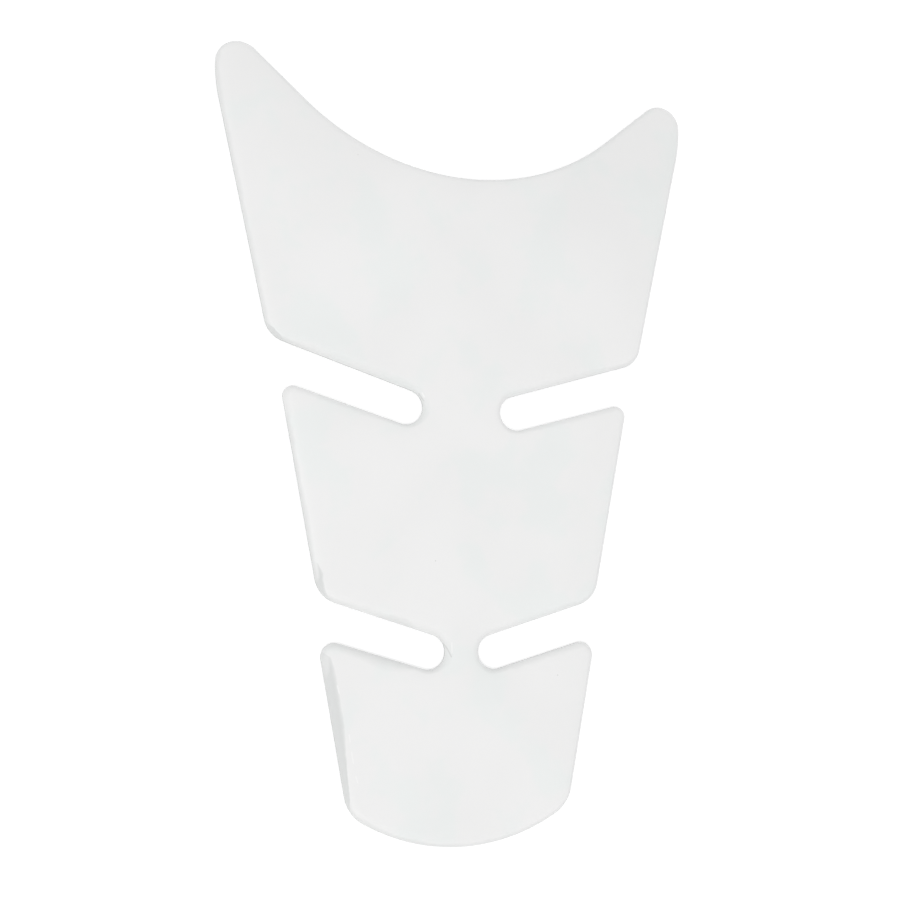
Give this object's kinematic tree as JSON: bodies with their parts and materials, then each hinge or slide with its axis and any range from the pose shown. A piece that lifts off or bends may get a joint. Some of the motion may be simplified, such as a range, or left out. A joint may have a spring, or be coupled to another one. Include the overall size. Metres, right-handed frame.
{
  "type": "motorcycle tank pad",
  "caption": "Flexible stick-on protector for a fuel tank: a thin domed polyurethane pad with two horns, a hollow rim and slanted side slots.",
  "frame": {"origin": "middle of the pad's outline box, on its flat adhesive underside", "axes": "+Z out of the pad's domed face, +Y along the pad towards its two horns, +X across it"},
  "size_m": [0.1376, 0.21, 0.002],
  "materials": {
    "polyurethane": "glossy cast polyurethane, clear to milky white with a faint cool green tint, slightly wavy surface"
  },
  "bodies": {
    "root": {"tank_pad": "polyurethane"}
  },
  "joints": []
}
